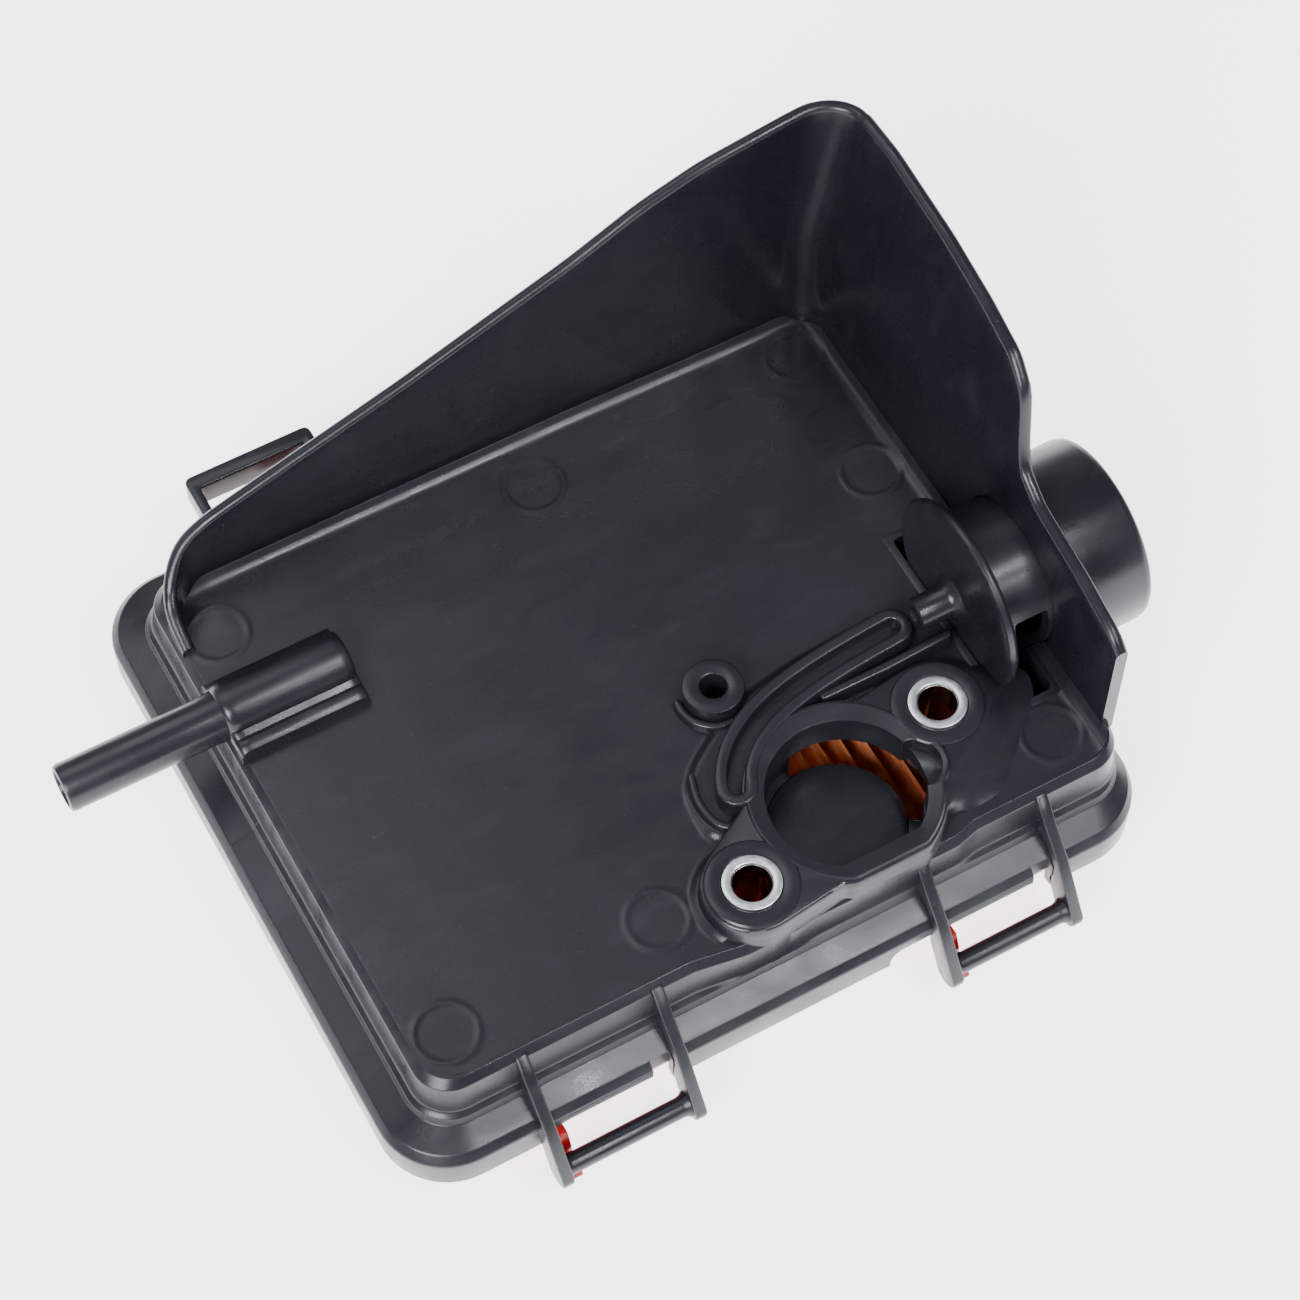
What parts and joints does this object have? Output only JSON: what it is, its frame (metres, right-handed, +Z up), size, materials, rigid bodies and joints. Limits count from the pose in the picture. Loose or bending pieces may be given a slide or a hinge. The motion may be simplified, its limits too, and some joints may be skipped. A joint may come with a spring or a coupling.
{
  "type": "air filter housing",
  "caption": "Small-engine air filter housing: black tray with carburettor land, tall deflector wall, breather tube and primer, closed by a hinged red cover over a pleated filter.",
  "frame": {"origin": "middle of the bounding box in plan, on the surface that the cover rests on", "axes": "+Z up towards the engine, normal to the mounting plate; +X along the front edge from the breather tube to the primer; +Y from the hinge edge to the tall deflector wall"},
  "size_m": [0.163, 0.137, 0.0812],
  "materials": {
    "black_nylon": "moulded black nylon, soft satin sheen with flow marks",
    "dark_nylon": "moulded black nylon, smooth",
    "red_cover_plastic": "moulded red, gloss",
    "zinc_steel": "bright zinc plated",
    "black_rubber": "moulded rubber, matt",
    "orange_seal": "soft orange polyurethane",
    "filter_paper": "oiled orange filter paper, pleated"
  },
  "bodies": {
    "base": {"baffle_disc": "dark_nylon", "base_tray": "black_nylon", "breather_boss": "black_nylon", "breather_tube": "black_nylon", "carburettor_land": "black_nylon", "deflector_wall": "dark_nylon", "filter_mesh": "zinc_steel", "filter_pleats": "filter_paper", "filter_seal_frame": "orange_seal", "hinge_bar_left": "black_nylon", "hinge_bar_right": "black_nylon", "hinge_lug_1": "black_nylon", "hinge_lug_2": "black_nylon", "hinge_lug_3": "black_nylon", "hinge_lug_4": "black_nylon", "latch_loop_left": "black_nylon", "latch_loop_right": "black_nylon", "lower_bolt_sleeve": "zinc_steel", "primer_backplate": "black_nylon", "primer_barrel": "black_nylon", "primer_channel": "black_nylon", "primer_cup": "black_nylon", "primer_nipple": "black_nylon", "primer_pocket": "black_nylon", "primer_retaining_ring": "zinc_steel", "screw_boss": "black_nylon", "upper_bolt_sleeve": "zinc_steel"},
    "cover": {"cover_hinge_arm_left": "red_cover_plastic", "cover_hinge_arm_right": "red_cover_plastic", "cover_latch_tongue_left": "red_cover_plastic", "cover_latch_tongue_right": "red_cover_plastic", "cover_shell": "red_cover_plastic"},
    "primer_bulb": {"primer_bulb": "black_rubber"}
  },
  "joints": [
    {"name": "cover_hinge", "type": "hinge", "parent": "base", "child": "cover", "pos_m": [0, -0.0655, 0.0074], "axis": [-1, 0, 0], "range_deg": [0, 100]},
    {"name": "primer_press", "type": "slide", "parent": "base", "child": "primer_bulb", "axis": [-1, 0, 0], "range_m": [0, 0.006], "stiffness_N_per_m": 400}
  ]
}
